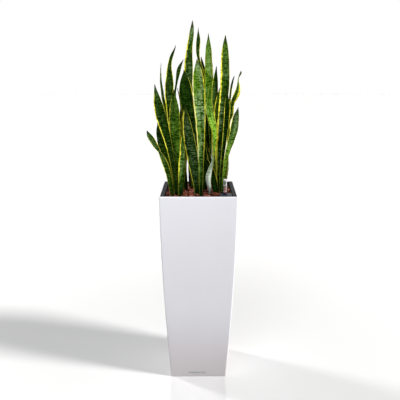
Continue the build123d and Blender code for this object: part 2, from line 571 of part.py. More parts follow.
SNAKE_PLANTS = {
    "snake_plant_front_left": [
        Leaf(
            (
                (-131, -166, 0), (-144, -163, 82), (-155, -160, 133), (-169, -158, 174), (-194, -155, 227),
                (-203, -154, 244), (-219, -153, 269), (-231, -152, 289), (-243, -151, 307), (-254, -150, 335),
            ),
            (17, 20, 23, 25, 28, 29, 28, 22, 13, 24, 30, 38, 46),
        ),
        Leaf(
            (
                (-114, -132, 0), (-127, -129, 130), (-150, -123, 260), (-178, -116, 370), (-194, -114, 430),
                (-204, -112, 480), (-217, -110, 561),
            ),
            (18, 20, 24, 30, 43, 54, 44, 22),
        ),
        Leaf(
            ((-113, -100, 0), (-114, -100, 130), (-118, -98, 300), (-120, -96, 400), (-123, -94, 536)),
            (18, 23, 33, 45, 52, 54, 46, 24),
        ),
        Leaf(
            ((-93, -154, 0), (-87, -152, 85), (-82, -150, 190), (-80, -148, 334)),
            (22, 30, 35, 34, 27, 18, 10),
            (0, 8),
        ),
        Leaf(
            ((-124, -66, 0), (-150, -62, 120), (-179, -56, 225), (-199, -52, 330), (-209, -50, 378)),
            (20, 26, 34, 46, 51, 48, 30),
        ),
    ],
    "snake_plant_back_left": [
        Leaf(
            ((-132, 60, 0), (-150, 60, 220), (-166, 60, 371), (-186, 60, 480), (-194, 60, 668)),
            (16, 18, 22, 26, 28, 24, 14),
            (50, 50, 60, 70),
        ),
        Leaf(
            (
                (-104, 22, 0), (-134, 22, 268), (-148, 22, 426), (-153, 22, 530), (-150, 22, 600),
                (-149, 22, 655), (-144, 22, 680), (-134, 22, 705), (-128, 22, 722), (-116, 22, 754),
            ),
            (22, 23, 25, 27, 29, 33, 39, 43, 46, 44, 27, 23, 32),
            (0, 0, 0, 5, 10, 10),
        ),
        Leaf(
            (
                (-90, 104, 0), (-111, 104, 259), (-126, 104, 475), (-125, 104, 528), (-119, 104, 554),
                (-115, 104, 580), (-111, 104, 606), (-105, 104, 632), (-95, 104, 658), (-79, 104, 689),
            ),
            (16, 18, 19, 20, 21, 22, 20, 18, 14, 9, 14, 32, 34),
            (25, 25, 20, 10, 10),
        ),
        Leaf(
            ((-74, 84, 0), (-82, 84, 300), (-97, 84, 476), (-115, 84, 542)),
            (16, 18, 20, 20, 18, 16, 10),
            (20, 20),
        ),
    ],
    "snake_plant_centre_front": [
        Leaf(
            (
                (-2, -96, 0), (-22, -96, 190), (-45, -96, 385), (-60, -98, 500), (-66, -99, 556),
                (-68, -100, 590), (-71, -100, 632),
            ),
            (22, 26, 30, 37, 45, 53, 58, 62, 64, 66, 69, 67, 42),
        ),
        Leaf(
            ((-7, -132, 0), (-14, -131, 80), (-28, -128, 185), (-48, -122, 300), (-66, -116, 468)),
            (24, 34, 48, 58, 58, 50, 34, 18),
        ),
        Leaf(
            ((13, -158, 0), (14, -152, 190), (13, -146, 340), (6, -140, 484), (-7, -132, 680)),
            (17, 20, 23, 26, 30, 35, 41, 48, 54, 57, 58, 60, 50),
        ),
        Leaf(
            ((-66, -16, 0), (-71, -16, 63), (-75, -17, 144), (-74, -17, 205), (-72, -18, 470)),
            (19, 22, 22, 23, 25, 33, 40, 44, 44, 42, 36, 28, 18),
        ),
    ],
    "snake_plant_centre_back": [
        Leaf(
            (
                (-28, 34, 0), (-42, 34, 300), (-52, 34, 560), (-51, 34, 660), (-48, 34, 718),
                (-41, 34, 772), (-33, 34, 825), (-30, 34, 874),
            ),
            (20, 23, 26, 30, 34, 38, 42, 44, 45, 45, 34, 37, 58),
            (0, 0, 0, 0, 5, 15),
        ),
        Leaf(
            (
                (14, 74, 0), (16, 74, 200), (24, 74, 400), (32, 74, 540), (28, 74, 588), (17, 74, 636),
                (4, 74, 680), (-2, 74, 708), (-2, 74, 752), (0, 74, 812), (1, 74, 847),
            ),
            (18, 19, 20, 21, 21, 20, 18, 14, 11, 12, 17, 33, 28),
        ),
        Leaf(
            ((44, 122, 0), (40, 122, 350), (31, 122, 600), (13, 122, 703)),
            (18, 22, 28, 32, 34, 34, 28),
            (10, 10),
        ),
        Leaf(
            ((-80, 128, 0), (-90, 126, 350), (-94, 124, 474)),
            (16, 20, 26, 30, 32, 28, 16),
            (-15, 0),
        ),
        Leaf(
            ((-44, 82, 0), (-43, 82, 150), (-46, 84, 310)),
            (20, 26, 28, 30, 24, 12),
            (175, 185),
        ),
    ],
    "snake_plant_centre_right": [
        Leaf(
            (
                (54, -114, 0), (52, -111, 60), (54, -107, 100), (62, -104, 137), (76, -101, 179),
                (83, -98, 225), (85, -96, 280), (80, -94, 340), (67, -92, 390), (57, -91, 440),
                (56, -90, 490), (62, -90, 545), (70, -90, 588), (73, -90, 616),
            ),
            (12, 24, 28, 26, 26, 26, 28, 36, 37, 30, 19, 15, 12),
            (180, 180, 172, 120, 80, 58, 40, 20, 5, 0, 0, 0, 0),
        ),
        Leaf(
            ((62, 50, 0), (55, 50, 480), (53, 50, 680), (51, 50, 816)),
            (22, 24, 27, 29, 32, 35, 37, 40, 41, 40, 40, 42, 28),
        ),
        Leaf(
            ((94, -74, 0), (86, -72, 64), (74, -70, 106), (58, -68, 143), (39, -66, 180), (27, -64, 207)),
            (22, 24, 26, 27, 26, 23, 19, 16, 12),
        ),
        Leaf(
            ((94, 2, 0), (82, 2, 300), (82, 3, 453), (85, 5, 530), (88, 6, 580), (93, 8, 651)),
            (18, 19, 20, 21, 22, 23, 24, 27, 31, 34, 35, 31, 24),
            (0, 10),
        ),
        Leaf(
            ((34, -24, 0), (38, -22, 250), (30, -20, 440)),
            (20, 26, 34, 40, 40, 34, 20),
        ),
        Leaf(
            (
                (106, -16, 0), (101, -16, 111), (98, -16, 219), (98, -16, 325), (95, -16, 428),
                (99, -16, 469), (106, -16, 520), (108, -16, 542),
            ),
            (15, 16, 16, 17, 19, 22, 25, 27, 20),
        ),
        Leaf(
            (
                (82, -46, 0), (76, -45, 91), (64, -44, 166), (54, -44, 197), (45, -44, 234),
                (35, -44, 271), (26, -44, 307),
            ),
            (16, 19, 21, 21, 20, 17, 11, 9, 8),
        ),
    ],
    "snake_plant_front_right": [
        Leaf(
            (
                (106, -38, 0), (108, -40, 117), (111, -41, 223), (117, -42, 360),
                (127, -43, 460), (134, -43, 560), (134, -43, 660), (135, -43, 798),
            ),
            (20, 25, 30, 35, 37, 38, 40, 44, 47, 46, 45, 48, 44),
            (-15, -10, 0, 0),
        ),
        Leaf(
            ((118, -64, 0), (130, -66, 227), (143, -69, 370), (143, -72, 534)),
            (14, 15, 16, 19, 25, 28, 29, 20),
        ),
        Leaf(
            (
                (126, -90, 0), (131, -92, 80), (141, -96, 180), (160, -101, 258),
                (180, -105, 334), (187, -107, 384), (193, -109, 415), (200, -110, 450),
            ),
            (15, 14, 14, 14, 16, 19, 24, 32, 36, 40, 39, 38, 24),
            (0, 5),
        ),
    ],
    "snake_plant_back_right": [
        Leaf(
            ((88, 132, 0), (78, 132, 400), (76, 132, 600), (76, 132, 667)),
            (16, 18, 20, 22, 22, 20, 14),
            (50, 50),
        ),
        Leaf(
            (
                (148, 68, 0), (162, 68, 300), (168, 68, 476), (171, 68, 515), (176, 68, 549),
                (181, 69, 572), (190, 70, 602),
            ),
            (14, 15, 15, 15, 14, 14, 13, 13, 13, 13, 14, 19, 32),
            (30, 30),
        ),
        Leaf(
            (
                (138, 20, 0), (158, 20, 215), (166, 20, 348), (173, 20, 411), (177, 20, 437),
                (182, 20, 463), (188, 20, 483), (197, 20, 504), (206, 20, 524), (208, 20, 545),
                (208, 20, 580), (213, 20, 602), (220, 20, 627),
            ),
            (16, 17, 18, 20, 21, 20, 18, 17, 19, 28, 31, 19, 40),
            (30, 32, 35, 38, 40, 45, 50, 45, 20, 10, 10, 60, 60),
        ),
        Leaf(
            ((147, 104, 0), (150, 104, 34), (160, 104, 90), (162, 104, 125), (161, 104, 165)),
            (10, 15, 18, 19, 18, 12),
            (180, 180),
        ),
    ],
}


def make_snake_plants():
    for name, leaves in SNAKE_PLANTS.items():
        blades = [make_leaf(leaf) for leaf in leaves]
        with BuildPart() as plant:
            for blade in blades:
                add(blade)
        finish(plant, name)


os.makedirs("parts", exist_ok=True)
make_outer_shell()
make_badge()
make_liner_tub()
make_handle("handle_left", -1)
make_handle("handle_right", 1)
make_separator_plate()
make_wick_cups()
make_filler_shaft()
make_shaft_cover()
make_hinge_pin()
make_filler_flap()
make_level_gauge()
make_float()
make_drain()
make_fill()
make_snake_plants()
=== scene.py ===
import math
import random

import bmesh
import bpy
import numpy as np
from mathutils import Euler, Matrix, Vector, noise


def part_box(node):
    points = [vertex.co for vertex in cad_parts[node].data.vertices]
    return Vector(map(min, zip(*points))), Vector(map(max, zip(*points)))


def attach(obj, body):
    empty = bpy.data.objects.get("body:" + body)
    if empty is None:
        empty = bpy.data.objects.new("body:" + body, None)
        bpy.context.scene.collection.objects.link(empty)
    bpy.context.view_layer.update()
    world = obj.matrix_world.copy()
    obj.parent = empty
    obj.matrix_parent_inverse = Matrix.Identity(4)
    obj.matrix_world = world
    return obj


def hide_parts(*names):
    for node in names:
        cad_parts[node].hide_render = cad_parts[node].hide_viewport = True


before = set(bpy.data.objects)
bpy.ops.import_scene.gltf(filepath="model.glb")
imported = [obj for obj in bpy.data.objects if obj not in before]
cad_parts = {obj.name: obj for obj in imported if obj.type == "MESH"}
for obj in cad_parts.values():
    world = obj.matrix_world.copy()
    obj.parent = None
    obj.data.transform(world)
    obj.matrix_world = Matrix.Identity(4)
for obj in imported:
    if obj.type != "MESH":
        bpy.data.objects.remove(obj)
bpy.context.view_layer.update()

MM = 0.001
FULL_TURN = 6.28  # the top of a random angle, in radians

# Leaves: the finer blade's rows along it and points across it; how evenly the rows are spaced,
# where 1 is even and less brings them closer together towards the tip; and the metres left free at
# the blade's foot, and at both its ends together
LEAF_ROWS = 72
LEAF_COLUMNS = 13
ROW_EVENNESS = 0.6
ROW_FOOT_GAP = 1e-5
ROW_GAPS = 4e-5
# How far the root goes below the CAD blade's foot
LEAF_ROOT_DEPTH = 8 * MM
# Thickness at the root, its share that is gone at the tip, and the most it is of the half width
LEAF_THICKNESS = 3.4 * MM
LEAF_THINNING = 0.5
LEAF_THICKEST = 0.7
# The underside's width against the upper side's, and its thickness at the edge against the middle
UNDER_WIDTH = 0.985
EDGE_THICKNESS = 0.12
THICKNESS_CURVE = 0.7
# How far a blade's edges sway in millimetres, how quickly along it, and the half width at which the
# sway is whole
LEAF_SWAY = (0.3, 0.8)
LEAF_SWAY_RATE = 70
LEAF_SWAY_WHOLE = 0.012
# How much a blade's outline waves in and out, how quickly, and how far its right edge is ahead
EDGE_WAVE = 0.018
EDGE_WAVE_RATE = 95
EDGE_WAVE_LEAD = 2.1
# What sets two leaves' noise apart: their clumps' numbers, and their own numbers in a clump
FIRST_SEED = 1.0
CLUMP_SEED_STEP = 7.3
LEAF_SEED_STEP = 1.7
LEAF_SPECULAR = 0.005
# Where along a blade the looks below are given, from root (0) to tip (1)
LEAF_PARTS = (0.05, 0.5, 0.93)
# What each leaf looks like, tallest first: its tone, from near black (0) to bright green (1), at
# the root, in the middle and at the tip, partly the leaf's own green and partly painted shade where
# the clump shades it; how much brighter its right half is than its left, painted light from one
# side; how grey its pale bands are at the root, in the middle and at the tip, partly the leaf's own
# grey-green and partly a painted sheen; and the width of its left and right yellow margins in
# millimetres, as seen from the front
LEAF_LOOKS = {
    "snake_plant_front_left": (
        ((0.15, 0.10, 0.25), 0.10, (0.1, 0.2, 0.3), (4.5, 1.0)),
        ((0.12, 0.52, 0.35), 0.25, (0.2, 0.1, 0.2), (2.5, 1.5)),
        ((0.20, 0.30, 0.10), 0.30, (0.1, 0.3, 0.6), (0.8, 0.8)),
        ((0.30, 0.25, 0.40), 0.10, (0.1, 0.2, 1.0), (2.5, 3.5)),
        ((0.25, 0.45, 0.40), -0.15, (0.3, 0.5, 0.3), (6.5, 0.8)),
    ),
    "snake_plant_back_left": (
        ((0.15, 0.22, 0.20), 0.05, (0.2, 0.6, 0.1), (5.0, 3.5)),
        ((0.20, 0.30, 0.35), 0.10, (0.2, 0.4, 0.2), (1.2, 1.2)),
        ((0.15, 0.18, 0.20), 0.00, (0.2, 0.5, 0.3), (1.5, 0.5)),
        ((0.02, 0.02, 0.05), 0.00, (0.0, 0.2, 0.3), (0.5, 0.5)),
    ),
    "snake_plant_centre_front": (
        ((0.12, 0.60, 0.70), -0.15, (0.1, 0.8, 0.9), (3.0, 4.5)),
        ((0.20, 0.10, 0.15), 0.10, (0.5, 0.2, 0.1), (1.0, 3.5)),
        ((0.05, 0.08, 0.08), 0.00, (0.1, 0.1, 0.1), (1.5, 1.5)),
        ((0.10, 0.20, 0.20), 0.25, (0.4, 0.8, 0.7), (5.5, 1.5)),
    ),
    "snake_plant_centre_back": (
        ((0.10, 0.15, 0.40), 0.10, (0.2, 0.4, 0.7), (6.5, 1.5)),
        ((0.10, 0.10, 0.20), 0.10, (0.2, 0.1, 0.3), (3.0, 6.0)),
        ((0.02, 0.02, 0.00), 0.00, (0.0, 0.0, 0.0), (3.0, 1.5)),
        ((0.05, 0.10, 0.10), 0.00, (0.1, 0.2, 0.1), (1.5, 1.5)),
        ((0.05, 0.10, 0.10), 0.00, (0.1, 0.1, 0.1), (1.0, 1.0)),
    ),
    "snake_plant_centre_right": (
        ((0.45, 0.88, 0.55), -0.20, (0.2, 0.8, 0.2), (1.5, 2.5)),
        ((0.15, 0.50, 0.15), -0.55, (0.2, 0.8, 0.1), (3.5, 0.8)),
        ((0.50, 1.05, 0.60), 0.20, (1.0, 0.1, 0.2), (1.2, 2.0)),
        ((0.10, 0.30, 0.35), -0.10, (0.2, 0.2, 0.2), (8.0, 5.0)),
        ((0.05, 0.20, 0.05), -0.30, (0.1, 0.1, 0.1), (1.5, 1.0)),
        ((0.10, 0.10, 0.10), 0.00, (0.1, 0.2, 0.4), (3.0, 2.5)),
        ((0.20, 0.08, 0.02), -0.05, (0.1, 0.1, 0.1), (0.5, 4.5)),
    ),
    "snake_plant_front_right": (
        ((0.10, 0.30, 0.42), -0.05, (0.3, 0.9, 0.1), (8.5, 1.5)),
        ((0.15, 0.05, 0.10), 0.00, (0.2, 0.1, 0.1), (3.0, 3.0)),
        ((0.40, 0.78, 0.28), 0.30, (0.1, 0.1, 0.9), (3.0, 0.8)),
    ),
    "snake_plant_back_right": (
        ((0.30, 0.50, 0.50), 0.00, (0.1, 0.2, 0.2), (4.0, 3.0)),
        ((0.20, 0.15, 0.45), 0.30, (0.2, 0.2, 0.3), (3.0, 9.0)),
        ((0.20, 0.15, 0.15), 0.00, (0.1, 0.1, 0.1), (2.0, 5.0)),
        ((0.60, 0.80, 0.80), 0.00, (1.0, 1.0, 1.0), (0.5, 0.5)),
    ),
}
# What a point of a blade tells the leaf material: its place across (-1 to 1) and along (metres),
# the half width there, the leaf's seed, tone (with its painted side light) and paleness (partly a
# painted sheen), whether it is on the underside, its place from root (0) to tip (1), and the two
# margins' widths
LEAF_VALUES = ("leaf_across", "leaf_along", "leaf_half", "leaf_seed", "leaf_tone", "leaf_paleness_and_sheen",
               "leaf_under", "leaf_part", "leaf_left", "leaf_right")

# Painted shade at the foot of the column, which darkens and warms the white towards the bottom: how
# high it reaches, and how it dims the white
FOOT_PAINTED_SHADE_TOP = 0.46
FOOT_PAINTED_SHADE = (0.80, 0.75, 0.73, 1.0)

# How far below a rib's top its painted highlight starts and is whole, which paints the tops lighter
# and leaves the grooves dark as painted shade, and the radii between which the cap's pink spot
# turns white
RIB_PAINTED_LIGHT = (0.9 * MM, 0.2 * MM)
CAP_SPOT = (4.5 * MM, 6.0 * MM)

# Bark chips: their number, length, width and height against their length, clearance from the
# walls, the lowest and highest centre and the highest point against the mulch's top, and how much
# they tilt, in radians
CHIP_SEED = 11
CHIP_COUNT = 620
CHIP_LENGTH = (13 * MM, 40 * MM)
CHIP_WIDTH = (0.35, 0.75)
CHIP_HEIGHT = (0.18, 0.36)
CHIP_WALL_GAP = 1.0 * MM
CHIP_LOW = -6 * MM
CHIP_HIGH = 3 * MM
CHIP_TOP = 9 * MM
CHIP_TILT = 0.35
# A chip's shape: how far the ball it starts from is swollen and where it is cut flat, its coarse
# and fine roughness as scale and size, how much narrower one end is, and the angle from which an
# edge stays sharp, in degrees
CHIP_SWELL = 1.35
CHIP_CUT = 0.46
CHIP_ROUGH = ((2.3, 0.22), (6.1, 0.08))
CHIP_TAPER = 0.35
CHIP_SHARP = 38
# The ranges of a chip's place in the noise of its shape and in that of its material
CHIP_SHAPE_SHIFT = 50
CHIP_NOISE_SHIFT = 9
# The bed under the chips: its grid, depth below the mulch's top, bumps, reach past the mulch's
# sides, and tone, near black as painted shade in the gaps between the chips
BED_STEP = 6 * MM
BED_DROP = 8 * MM
BED_BUMP = 3 * MM
BED_BUMP_SCALE = 70
BED_OVERLAP = 0.5 * MM
BED_PAINTED_SHADE_TONE = 0.05

# Camera and light
CAMERA_PLACE = (0.0081, -2.588, 1.6177)
CAMERA_PITCH = 0.2396
CAMERA_LENS = 43.9
SENSOR_WIDTH = 36.0
# How bright the surroundings look, and how much light they cast
WORLD_SEEN = 1.0
WORLD_FILL = 0.08
# How white the floor is by the column and far from it, greyer by the column as a painted shadow
# round its foot, the distances between which it changes, how white it is where it lights the
# column, and how much of what it shows is a reflection
FLOOR_NEAR_PAINTED_SHADOW = 0.76
FLOOR_FAR = 0.95
FLOOR_BLEND = (0.5, 2.2)
FLOOR_BOUNCE = 0.3
FLOOR_GLOSS = 0.22
FLOOR_REACH = 60.0
FLOOR_DROP = 0.5 * MM
SUN_DISTANCE = 6
# Each distant light's name, azimuth, height and apparent size in degrees, strength and colour
SUNS = (
    ("key", -16.5, 35, 10, 3.9, (1.0, 0.99, 0.97)),
    ("back", 152, 36, 9, 1.5, (1.0, 1.0, 1.0)),
)
# The near light's place, target, diameter, power and colour
NEAR_LIGHT = ((-0.4, -1.3, 2.3), (0, 0, 1.1), 0.9, 16, (0.95, 0.97, 1.0))


class Shader:
    """A material's nodes in short calls: each input is a value or another node's output."""

    def __init__(self, name):
        self.material = bpy.data.materials.new(name)
        self.material.use_nodes = True
        self.nodes = self.material.node_tree.nodes
        self.links = self.material.node_tree.links
        self.nodes.clear()

    def add(self, kind, inputs=None, output=0, **settings):
        node = self.nodes.new("ShaderNode" + kind)
        for key, value in settings.items():
            setattr(node, key, value)
        for key, value in (inputs or {}).items():
            if isinstance(value, bpy.types.NodeSocket):
                self.links.new(value, node.inputs[key])
            else:
                node.inputs[key].default_value = value
        return node.outputs[output]

    def math(self, operation, *values):
        return self.add("Math", dict(enumerate(values)), operation=operation)

    def attribute(self, name, output="Fac"):
        return self.add("Attribute", output=output, attribute_name=name)

    def mix(self, factor, a, b, blend="MIX"):
        inputs = {0: factor, 6: a, 7: b}
        return self.add("Mix", inputs, output=2, data_type="RGBA", blend_type=blend)

    def noise(self, vector, scale, detail, roughness=0.5, distortion=0.0):
        inputs = {"Vector": vector, "Scale": scale, "Detail": detail}
        inputs.update({"Roughness": roughness, "Distortion": distortion})
        return self.add("TexNoise", inputs)

    def step(self, value, low, high, to_low=0.0, to_high=1.0):
        """value brought smoothly from low..high to to_low..to_high."""
        inputs = {"Value": value, "From Min": low, "From Max": high}
        inputs.update({"To Min": to_low, "To Max": to_high})
        return self.add("MapRange", inputs, interpolation_type="SMOOTHSTEP")

    def stretch(self, vector, scale):
        return self.add("Mapping", {"Vector": vector, "Scale": scale})

    def object_place(self):
        return self.add("TexCoord", output="Object")

    def height(self, place):
        return self.add("SeparateXYZ", {"Vector": place}, output=2)

    def bump(self, height, distance, strength=1.0, normal=None):
        inputs = {"Height": height, "Distance": distance, "Strength": strength}
        if normal is not None:
            inputs["Normal"] = normal
        return self.add("Bump", inputs)

    def finish(self, surface):
        output = self.nodes.new("ShaderNodeOutputMaterial")
        self.links.new(surface, output.inputs["Surface"])
        return self.material


def rgb(red, green, blue):
    return (red, green, blue, 1.0)


def grey(level):
    return rgb(level, level, level)


def set_material(node, material):
    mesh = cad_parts[node].data
    mesh.materials.clear()
    mesh.materials.append(material)


def piece(name, mesh, body, material):
    """A new visible piece that rides on a body."""
    mesh.materials.append(material)
    obj = bpy.data.objects.new(name, mesh)
    bpy.context.scene.collection.objects.link(obj)
    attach(obj, body)
    return obj


# Materials


def column_material():
    """White moulded plastic with a satin coat and faint flow marks, darkened and warmed towards its
    foot as painted shade.
    """
    s = Shader("column_white")
    place = s.object_place()
    flow = s.noise(s.stretch(place, (2.5, 2.5, 0.6)), 1.6, 1.5)
    speck = s.noise(place, 260.0, 2.0)
    base = s.mix(s.step(flow, 0.3, 0.75), rgb(0.855, 0.853, 0.905), rgb(0.870, 0.870, 0.922))
    base = s.mix(s.step(speck, 0.66, 0.76, 0.0, 0.06), base, grey(0.6))
    # Painted shade: the white is darkened and warmed towards the foot.
    foot = s.math("ADD", s.height(place), s.step(flow, 0.3, 0.7, -0.008, 0.008))
    base = s.mix(s.step(foot, 0.0, FOOT_PAINTED_SHADE_TOP, 1.0, 0.0), base, FOOT_PAINTED_SHADE, "MULTIPLY")
    peel = s.noise(place, 420.0, 2.0)
    wave = s.noise(place, 9.0, 2.0)
    normal = s.bump(wave, 0.0006, 0.25)
    normal = s.bump(peel, 0.00004, 0.5, normal)
    surface = s.add("BsdfPrincipled", {
        "Base Color": base,
        "Roughness": s.step(speck, 0.3, 0.7, 0.28, 0.32),
        "Coat Weight": 0.35,
        "Coat Roughness": 0.12,
        "Normal": normal,
    })
    return s.finish(surface)


def grained_plastic(name, dark, light, rough=(0.5, 0.68), specular=0.5):
    """Moulded plastic with a fine grain, scuffed a little paler in patches."""
    s = Shader(name)
    place = s.object_place()
    patches = s.noise(place, 14.0, 5.0, 0.6)
    speck = s.noise(place, 900.0, 2.0)
    base = s.mix(s.step(patches, 0.35, 0.75), dark, light)
    base = s.mix(s.step(speck, 0.55, 0.75, 0.0, 0.5), base, light)
    surface = s.add("BsdfPrincipled", {
        "Base Color": base,
        "Roughness": s.step(patches, 0.3, 0.7, *rough),
        "Specular IOR Level": specular,
        "Normal": s.bump(speck, 0.00012, 0.8),
    })
    return s.finish(surface)


def handle_material():
    """Ribbed grey bars: the ribs' tops are painted paler as a painted highlight, and their grooves
    stay dark as painted shade.
    """
    s = Shader("handle_grey")
    place = s.object_place()
    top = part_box("handle_left")[1].z
    # Painted light and shade: the ribs' tops lighter, the grooves darker.
    lit_rib_tops = s.step(s.height(place), top - RIB_PAINTED_LIGHT[0], top - RIB_PAINTED_LIGHT[1])
    speck = s.noise(place, 420.0, 3.0, 0.7)
    base = s.mix(lit_rib_tops, rgb(0.003, 0.003, 0.004), rgb(0.014, 0.014, 0.015))
    base = s.mix(s.step(speck, 0.50, 0.64, 0.0, 0.8), base, rgb(0.085, 0.085, 0.088))
    base = s.mix(s.step(speck, 0.36, 0.48, 0.8, 0.0), base, rgb(0.008, 0.008, 0.009))
    surface = s.add("BsdfPrincipled", {
        "Base Color": base,
        "Roughness": s.step(speck, 0.3, 0.7, 0.42, 0.62),
        "Specular IOR Level": 0.06,
        "Normal": s.bump(speck, 0.0002, 0.7),
    })
    return s.finish(surface)


def clear_material():
    """Clear gauge tube, with a faint haze."""
    s = Shader("gauge_clear")
    place = s.object_place()
    haze = s.noise(s.stretch(place, (60, 60, 9)), 1.0, 4.0)
    base = s.mix(s.step(haze, 0.4, 0.8, 0.0, 0.25), rgb(0.97, 0.99, 0.99), rgb(0.86, 0.88, 0.88))
    surface = s.add("BsdfPrincipled", {
        "Base Color": base,
        "Roughness": s.step(haze, 0.3, 0.8, 0.02, 0.12),
        "IOR": 1.46,
        "Transmission Weight": 1.0,
    })
    return s.finish(surface)


def glossy_plastic(name, main, shade, rough=0.25):
    """Smooth plastic, slightly clouded."""
    s = Shader(name)
    place = s.object_place()
    cloud = s.noise(place, 60.0, 4.0)
    base = s.mix(s.step(cloud, 0.35, 0.7), main, shade)
    surface = s.add("BsdfPrincipled", {
        "Base Color": base,
        "Roughness": s.step(cloud, 0.3, 0.7, rough, rough + 0.12),
        "Coat Weight": 0.3,
        "Normal": s.bump(cloud, 0.0001, 0.3),
    })
    return s.finish(surface)


def cap_material():
    """White cap with a pink spot in its middle."""
    s = Shader("cap_white")
    place = s.object_place()
    low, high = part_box("gauge_cap")
    centre = (low + high) / 2
    away = s.add("VectorMath", {0: place, 1: (centre.x, centre.y, 0)}, operation="SUBTRACT")
    away = s.add("VectorMath", {0: away, 1: (1, 1, 0)}, operation="MULTIPLY")
    away = s.add("VectorMath", {0: away}, output="Value", operation="LENGTH")
    cloud = s.noise(place, 300.0, 3.0)
    white = s.mix(s.step(cloud, 0.35, 0.7), grey(0.80), rgb(0.70, 0.71, 0.72))
    pink = s.mix(s.step(cloud, 0.35, 0.7), rgb(0.66, 0.16, 0.15), rgb(0.72, 0.24, 0.22))
    surface = s.add("BsdfPrincipled", {
        "Base Color": s.mix(s.step(away, *CAP_SPOT), pink, white),
        "Roughness": s.step(cloud, 0.3, 0.7, 0.3, 0.42),
        "Coat Weight": 0.3,
    })
    return s.finish(surface)


def steel_material():
    """Drawn steel, with fine lines along the pin."""
    s = Shader("pin_steel")
    place = s.object_place()
    drawn = s.noise(s.stretch(place, (900, 12, 900)), 1.0, 3.0)
    surface = s.add("BsdfPrincipled", {
        "Base Color": s.mix(drawn, rgb(0.5, 0.49, 0.47), rgb(0.68, 0.67, 0.65)),
        "Metallic": 1.0,
        "Roughness": s.step(drawn, 0.3, 0.7, 0.25, 0.4),
    })
    return s.finish(surface)


def rubber_material():
    """Black rubber with a little dust."""
    s = Shader("seal_rubber")
    place = s.object_place()
    dust = s.noise(place, 500.0, 3.0)
    surface = s.add("BsdfPrincipled", {
        "Base Color": s.mix(s.step(dust, 0.45, 0.8), grey(0.018), rgb(0.06, 0.058, 0.055)),
        "Roughness": 0.8,
        "Normal": s.bump(dust, 0.00008, 0.6),
    })
    return s.finish(surface)


def crumb_material(name, dark, light, scale, distance):
    """Loose grains, seen only when the planting or the liner is lifted."""
    s = Shader(name)
    place = s.object_place()
    cell = s.add("TexVoronoi", {"Vector": place, "Scale": scale})
    cloud = s.noise(place, scale * 0.4, 6.0, 0.65)
    base = s.mix(s.step(cloud, 0.3, 0.7), dark, light)
    base = s.mix(s.step(cell, 0.0, 0.5, 0.0, 0.6), base, dark)
    normal = s.bump(s.math("SUBTRACT", 1.0, cell), distance, 1.0)
    surface = s.add("BsdfPrincipled", {
        "Base Color": base,
        "Roughness": 0.93,
        "Normal": s.bump(cloud, distance * 0.5, 0.7, normal),
    })
    return s.finish(surface)


def bark_material():
    """Red-brown bark: each chip has its own tone, and fibres along its length."""
    s = Shader("bark_chips")
    tone = s.attribute("chip_tone")
    local = s.attribute("chip_place", "Vector")
    fibre = s.noise(s.stretch(local, (90, 900, 500)), 1.0, 5.0, 0.65)
    patch = s.noise(local, 120.0, 4.0, 0.6)
    base = s.mix(s.step(tone, 0.0, 0.45), rgb(0.010, 0.003, 0.002), rgb(0.120, 0.032, 0.018))
    base = s.mix(s.step(tone, 0.45, 0.95), base, rgb(0.46, 0.15, 0.10))
    base = s.mix(s.step(fibre, 0.35, 0.6, 0.65, 0.0), base, rgb(0.022, 0.006, 0.004))
    base = s.mix(s.step(patch, 0.5, 0.75, 0.0, 0.6), base, rgb(0.42, 0.14, 0.09))
    normal = s.bump(fibre, 0.0008, 0.9)
    normal = s.bump(patch, 0.0012, 0.6, normal)
    surface = s.add("BsdfPrincipled", {
        "Base Color": base,
        "Roughness": s.step(fibre, 0.2, 0.8, 0.62, 0.85),
        "Specular IOR Level": 0.08,
        "Normal": normal,
    })
    return s.finish(surface)


